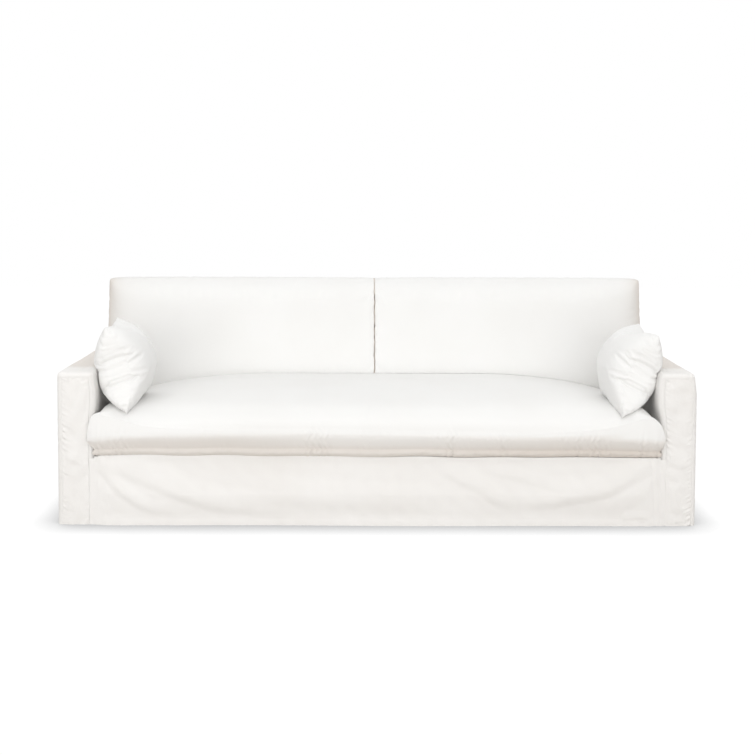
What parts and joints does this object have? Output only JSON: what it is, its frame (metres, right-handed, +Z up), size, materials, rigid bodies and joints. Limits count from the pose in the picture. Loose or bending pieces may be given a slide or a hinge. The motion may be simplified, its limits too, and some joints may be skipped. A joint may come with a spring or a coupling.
{
  "type": "sofa slipcover set with bench seat cushion, back cushions and throw pillows",
  "caption": "Fitted white cotton sofa slipcover with skirt to the floor, boxed bench cushion, butted back cushions and small leaning pillows.",
  "frame": {"origin": "on the floor, under the middle of the set's own box", "axes": "+Z up, the front faces -Y, +X to the right of someone who faces the sofa"},
  "size_m": [2.44, 1.07, 0.8613],
  "materials": {
    "cover_cotton": "washed white cotton, matt",
    "seat_cotton": "washed white cotton over a soft filling, matt",
    "back_cotton": "washed white cotton over a soft filling, matt",
    "pillow_cotton": "washed white cotton over a soft filling, matt"
  },
  "bodies": {
    "root": {"front_drop": "cover_cotton", "arm_front_left": "cover_cotton", "arm_front_right": "cover_cotton", "arm_outside_left": "cover_cotton", "arm_outside_right": "cover_cotton", "arm_top_left": "cover_cotton", "arm_top_right": "cover_cotton", "arm_inside_left": "cover_cotton", "arm_inside_right": "cover_cotton", "deck": "cover_cotton", "inside_back": "cover_cotton", "back_top": "cover_cotton", "outside_back": "cover_cotton", "back_end_left": "cover_cotton", "back_end_right": "cover_cotton", "seat_cushion": "seat_cotton", "back_cushion_left": "back_cotton", "back_cushion_right": "back_cotton", "pillow_left": "pillow_cotton", "pillow_right": "pillow_cotton"}
  },
  "joints": []
}
